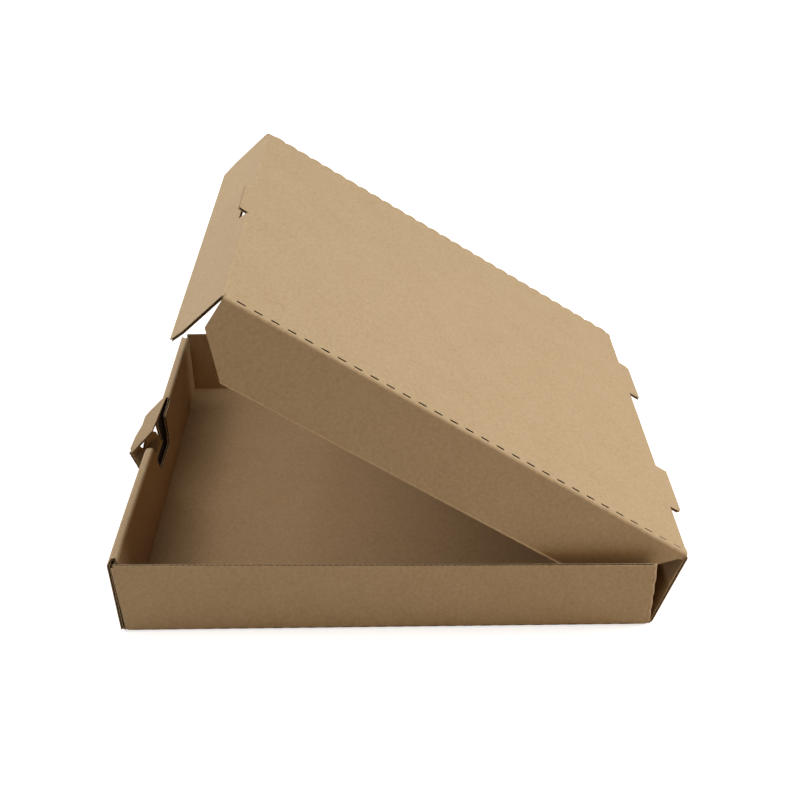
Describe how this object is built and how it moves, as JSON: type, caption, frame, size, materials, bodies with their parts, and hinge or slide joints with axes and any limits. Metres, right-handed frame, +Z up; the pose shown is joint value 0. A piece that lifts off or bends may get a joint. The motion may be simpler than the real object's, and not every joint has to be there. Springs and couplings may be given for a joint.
{
  "type": "pizza box",
  "caption": "Square folding box of plain kraft corrugated board with a hinged lid, front and side lid flaps, a rolled front wall and a lock tongue, for carrying a pizza.",
  "frame": {"origin": "centre of the tray's underside, on the surface that it stands on", "axes": "+Z up, +Y towards the hinge at the rear, +X to the right seen from the front"},
  "size_m": [0.3254, 0.3445, 0.2089],
  "materials": {
    "kraft_board": "matt unprinted kraft"
  },
  "bodies": {
    "tray": {"tray": "kraft_board"},
    "rear_wall": {"rear_wall": "kraft_board"},
    "lid": {"lid": "kraft_board"},
    "front_flap": {"front_flap": "kraft_board"},
    "side_flap_right": {"side_flap_right": "kraft_board"},
    "side_flap_left": {"side_flap_left": "kraft_board"}
  },
  "joints": [
    {"name": "rear_wall_fold", "type": "hinge", "parent": "tray", "child": "rear_wall", "pos_m": [0, 0.15335, 0.00085], "axis": [-1, 0, 0], "range_deg": [-21.2, 30]},
    {"name": "lid_fold", "type": "hinge", "parent": "rear_wall", "child": "lid", "pos_m": [0, 0.17067, 0.04551], "axis": [-1, 0, 0], "range_deg": [-11, 78]},
    {"name": "front_flap_fold", "type": "hinge", "parent": "lid", "child": "front_flap", "pos_m": [0, -0.08172, 0.20507], "axis": [-1, 0, 0], "range_deg": [-16.5, 73.5]},
    {"name": "side_flap_right_fold", "type": "hinge", "parent": "lid", "child": "side_flap_right", "pos_m": [0.1501, 0.17011, 0.04462], "axis": [0, 0.8453, -0.5344], "range_deg": [0, 80]},
    {"name": "side_flap_left_fold", "type": "hinge", "parent": "lid", "child": "side_flap_left", "pos_m": [-0.1501, 0.17011, 0.04462], "axis": [0, -0.8453, 0.5344], "range_deg": [0, 80]}
  ]
}
